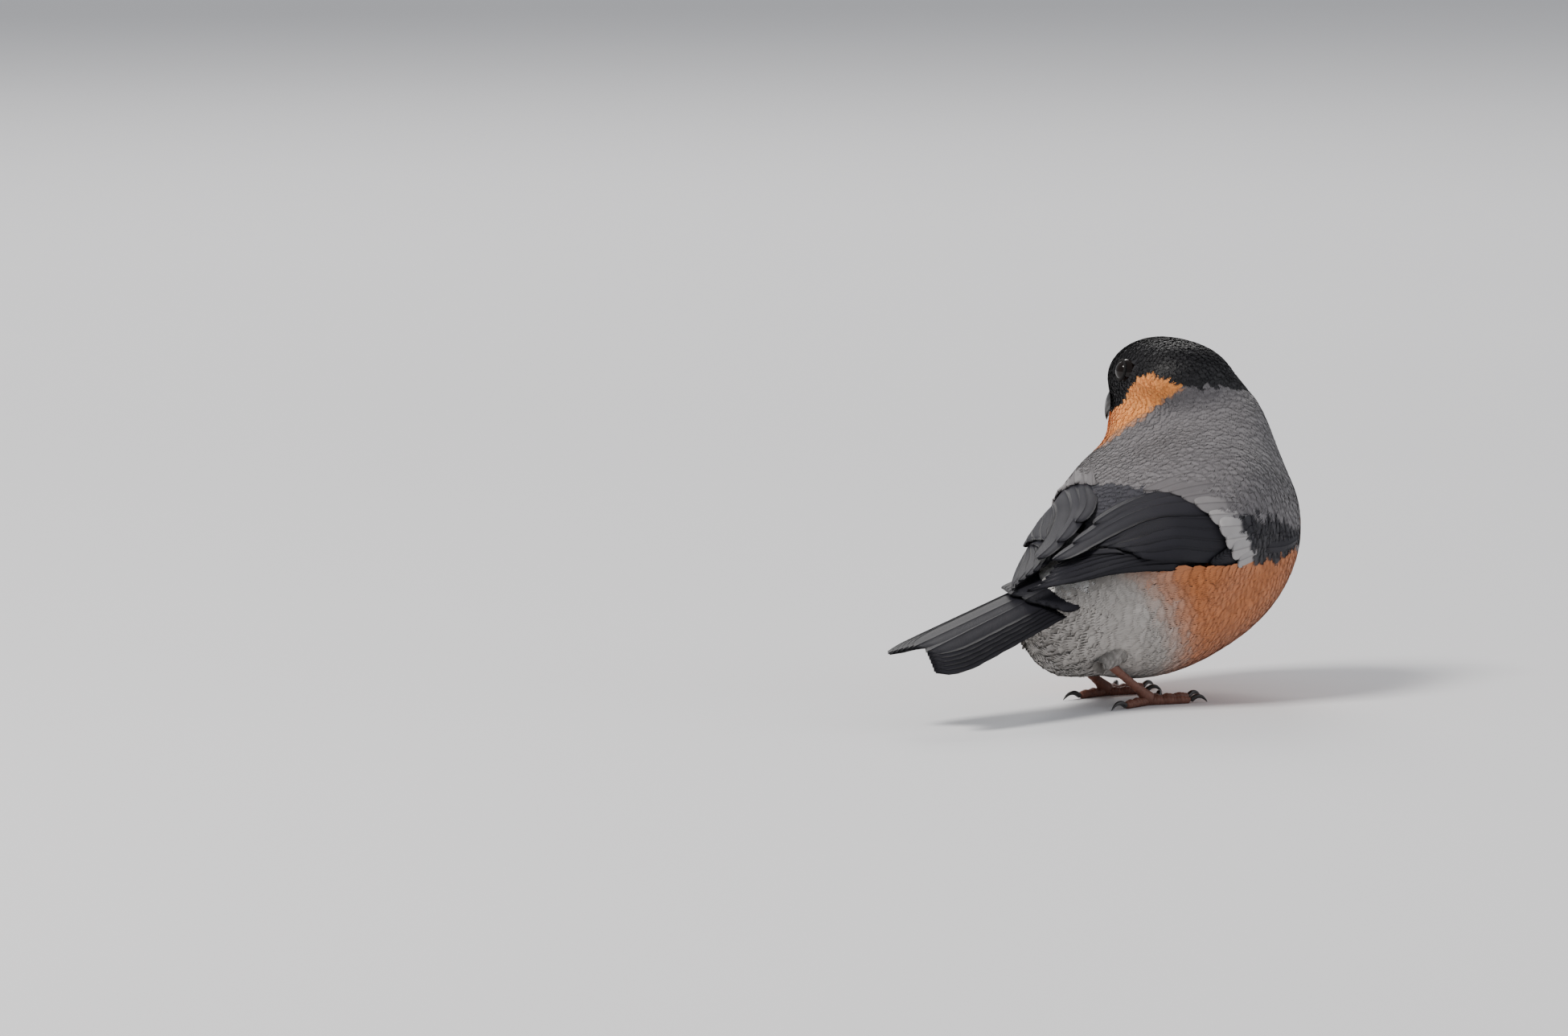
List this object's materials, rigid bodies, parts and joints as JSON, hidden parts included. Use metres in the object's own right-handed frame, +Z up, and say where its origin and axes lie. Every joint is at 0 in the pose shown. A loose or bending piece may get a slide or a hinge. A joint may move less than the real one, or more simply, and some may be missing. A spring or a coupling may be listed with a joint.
{
  "type": "songbird model",
  "caption": "Life-size still model of a male bullfinch, crouched on the ground and looking back over its left side, with wings folded.",
  "frame": {"origin": "on the floor, under the centre of the bird's bounding box", "axes": "+X the way the breast faces, +Y the bird's left, +Z up"},
  "size_m": [0.1191, 0.0542, 0.0806],
  "materials": {
    "body_plumage": "soft matt feathering, ash grey above and orange below",
    "cap_plumage": "black feathering with a slight sheen",
    "flight_feathers": "blue-black feathers with a satin gloss",
    "horn": "satin black horn",
    "eye": "polished, nearly black",
    "leg_skin": "dull scaly skin"
  },
  "bodies": {
    "root": {"torso": "body_plumage", "neck": "body_plumage", "head": "cap_plumage", "tail": "flight_feathers", "wing_left": "flight_feathers", "wing_right": "flight_feathers", "bill_upper": "horn", "bill_lower": "horn", "eye_left": "eye", "eye_right": "eye", "thigh_left": "body_plumage", "thigh_right": "body_plumage", "tarsus_left": "leg_skin", "tarsus_right": "leg_skin", "foot_left": "leg_skin", "foot_right": "leg_skin", "claw_left_hind": "horn", "claw_left_inner": "horn", "claw_left_middle": "horn", "claw_left_outer": "horn", "claw_right_hind": "horn", "claw_right_inner": "horn", "claw_right_middle": "horn", "claw_right_outer": "horn"}
  },
  "joints": []
}
